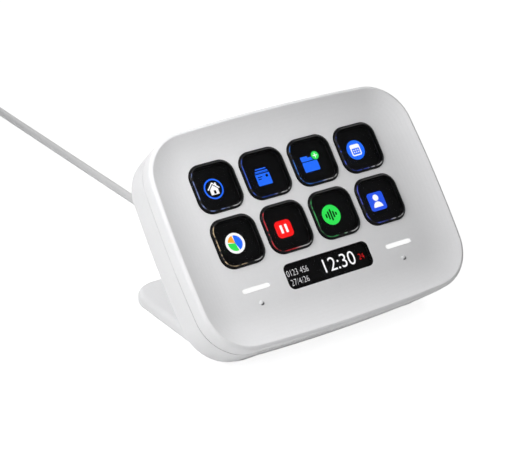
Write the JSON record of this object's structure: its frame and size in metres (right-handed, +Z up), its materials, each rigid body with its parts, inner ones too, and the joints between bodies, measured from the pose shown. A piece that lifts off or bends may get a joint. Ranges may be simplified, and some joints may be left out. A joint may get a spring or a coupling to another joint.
{
  "type": "desk display keypad",
  "caption": "Leaning desk keypad with display keys in a dished white housing, an information window, lit touch bars, a fixed foot and a captive USB lead.",
  "frame": {"origin": "centre of the bounding box's footprint, on the desk", "axes": "+X to the right across the face, +Y away from the user, +Z up"},
  "size_m": [0.107, 0.3172, 0.0713],
  "materials": {
    "shell": "satin white moulding",
    "pad": "matte",
    "lens": "glossy dark window",
    "light_pipe": "clear, lit white",
    "lead": "smooth white sheath",
    "dome_film": "satin film",
    "board": "solder mask",
    "led": "moulded",
    "copper": "bare",
    "spring_gold": "plated",
    "panel": "polished",
    "diffuser": "satin",
    "tray": "as pressed",
    "chip": "moulded",
    "connector": "moulded",
    "flex": "polyimide film",
    "inner_wire": "smooth",
    "screw": "zinc plated",
    "tie": "hook and loop",
    "plug_body": "moulded",
    "plug_metal": "nickel plated",
    "clear_cap": "glossy clear over a dark display",
    "carrier": "satin",
    "pill": "matte conductive rubber"
  },
  "bodies": {
    "base": {"front_housing": "shell", "rear_housing": "shell", "base_pad": "pad", "strip_lens": "lens", "light_pipes": "light_pipe", "strain_relief": "lead", "dome_sheet": "dome_film", "key_board": "board", "bar_leds": "led", "touch_electrodes": "copper", "touch_contacts": "spring_gold", "lcd_panel": "panel", "backlight": "diffuser", "inner_frame": "tray", "main_board": "board", "board_chips": "chip", "flex_sockets": "connector", "lcd_flex": "flex", "board_link": "flex", "cable_header": "connector", "lead_plug": "connector", "inner_lead": "inner_wire", "housing_screws": "screw", "frame_screws": "screw", "board_screws": "screw", "cable": "lead", "cable_coil": "lead", "cable_tail": "lead", "cable_tie": "tie", "usb_plug": "plug_body", "usb_shell": "plug_metal"},
    "key_1": {"key_cap_1": "clear_cap", "key_frame_1": "carrier", "key_pills_1": "pill"},
    "key_2": {"key_cap_2": "clear_cap", "key_frame_2": "carrier", "key_pills_2": "pill"},
    "key_3": {"key_cap_3": "clear_cap", "key_frame_3": "carrier", "key_pills_3": "pill"},
    "key_4": {"key_cap_4": "clear_cap", "key_frame_4": "carrier", "key_pills_4": "pill"},
    "key_5": {"key_cap_5": "clear_cap", "key_frame_5": "carrier", "key_pills_5": "pill"},
    "key_6": {"key_cap_6": "clear_cap", "key_frame_6": "carrier", "key_pills_6": "pill"},
    "key_7": {"key_cap_7": "clear_cap", "key_frame_7": "carrier", "key_pills_7": "pill"},
    "key_8": {"key_cap_8": "clear_cap", "key_frame_8": "carrier", "key_pills_8": "pill"}
  },
  "joints": [
    {"name": "key_1_press", "type": "slide", "parent": "base", "child": "key_1", "axis": [0, 0.766, -0.6428], "range_m": [0, 0.0012], "stiffness_N_per_m": 400},
    {"name": "key_2_press", "type": "slide", "parent": "base", "child": "key_2", "axis": [0, 0.766, -0.6428], "range_m": [0, 0.0012], "stiffness_N_per_m": 400},
    {"name": "key_3_press", "type": "slide", "parent": "base", "child": "key_3", "axis": [0, 0.766, -0.6428], "range_m": [0, 0.0012], "stiffness_N_per_m": 400},
    {"name": "key_4_press", "type": "slide", "parent": "base", "child": "key_4", "axis": [0, 0.766, -0.6428], "range_m": [0, 0.0012], "stiffness_N_per_m": 400},
    {"name": "key_5_press", "type": "slide", "parent": "base", "child": "key_5", "axis": [0, 0.766, -0.6428], "range_m": [0, 0.0012], "stiffness_N_per_m": 400},
    {"name": "key_6_press", "type": "slide", "parent": "base", "child": "key_6", "axis": [0, 0.766, -0.6428], "range_m": [0, 0.0012], "stiffness_N_per_m": 400},
    {"name": "key_7_press", "type": "slide", "parent": "base", "child": "key_7", "axis": [0, 0.766, -0.6428], "range_m": [0, 0.0012], "stiffness_N_per_m": 400},
    {"name": "key_8_press", "type": "slide", "parent": "base", "child": "key_8", "axis": [0, 0.766, -0.6428], "range_m": [0, 0.0012], "stiffness_N_per_m": 400}
  ]
}
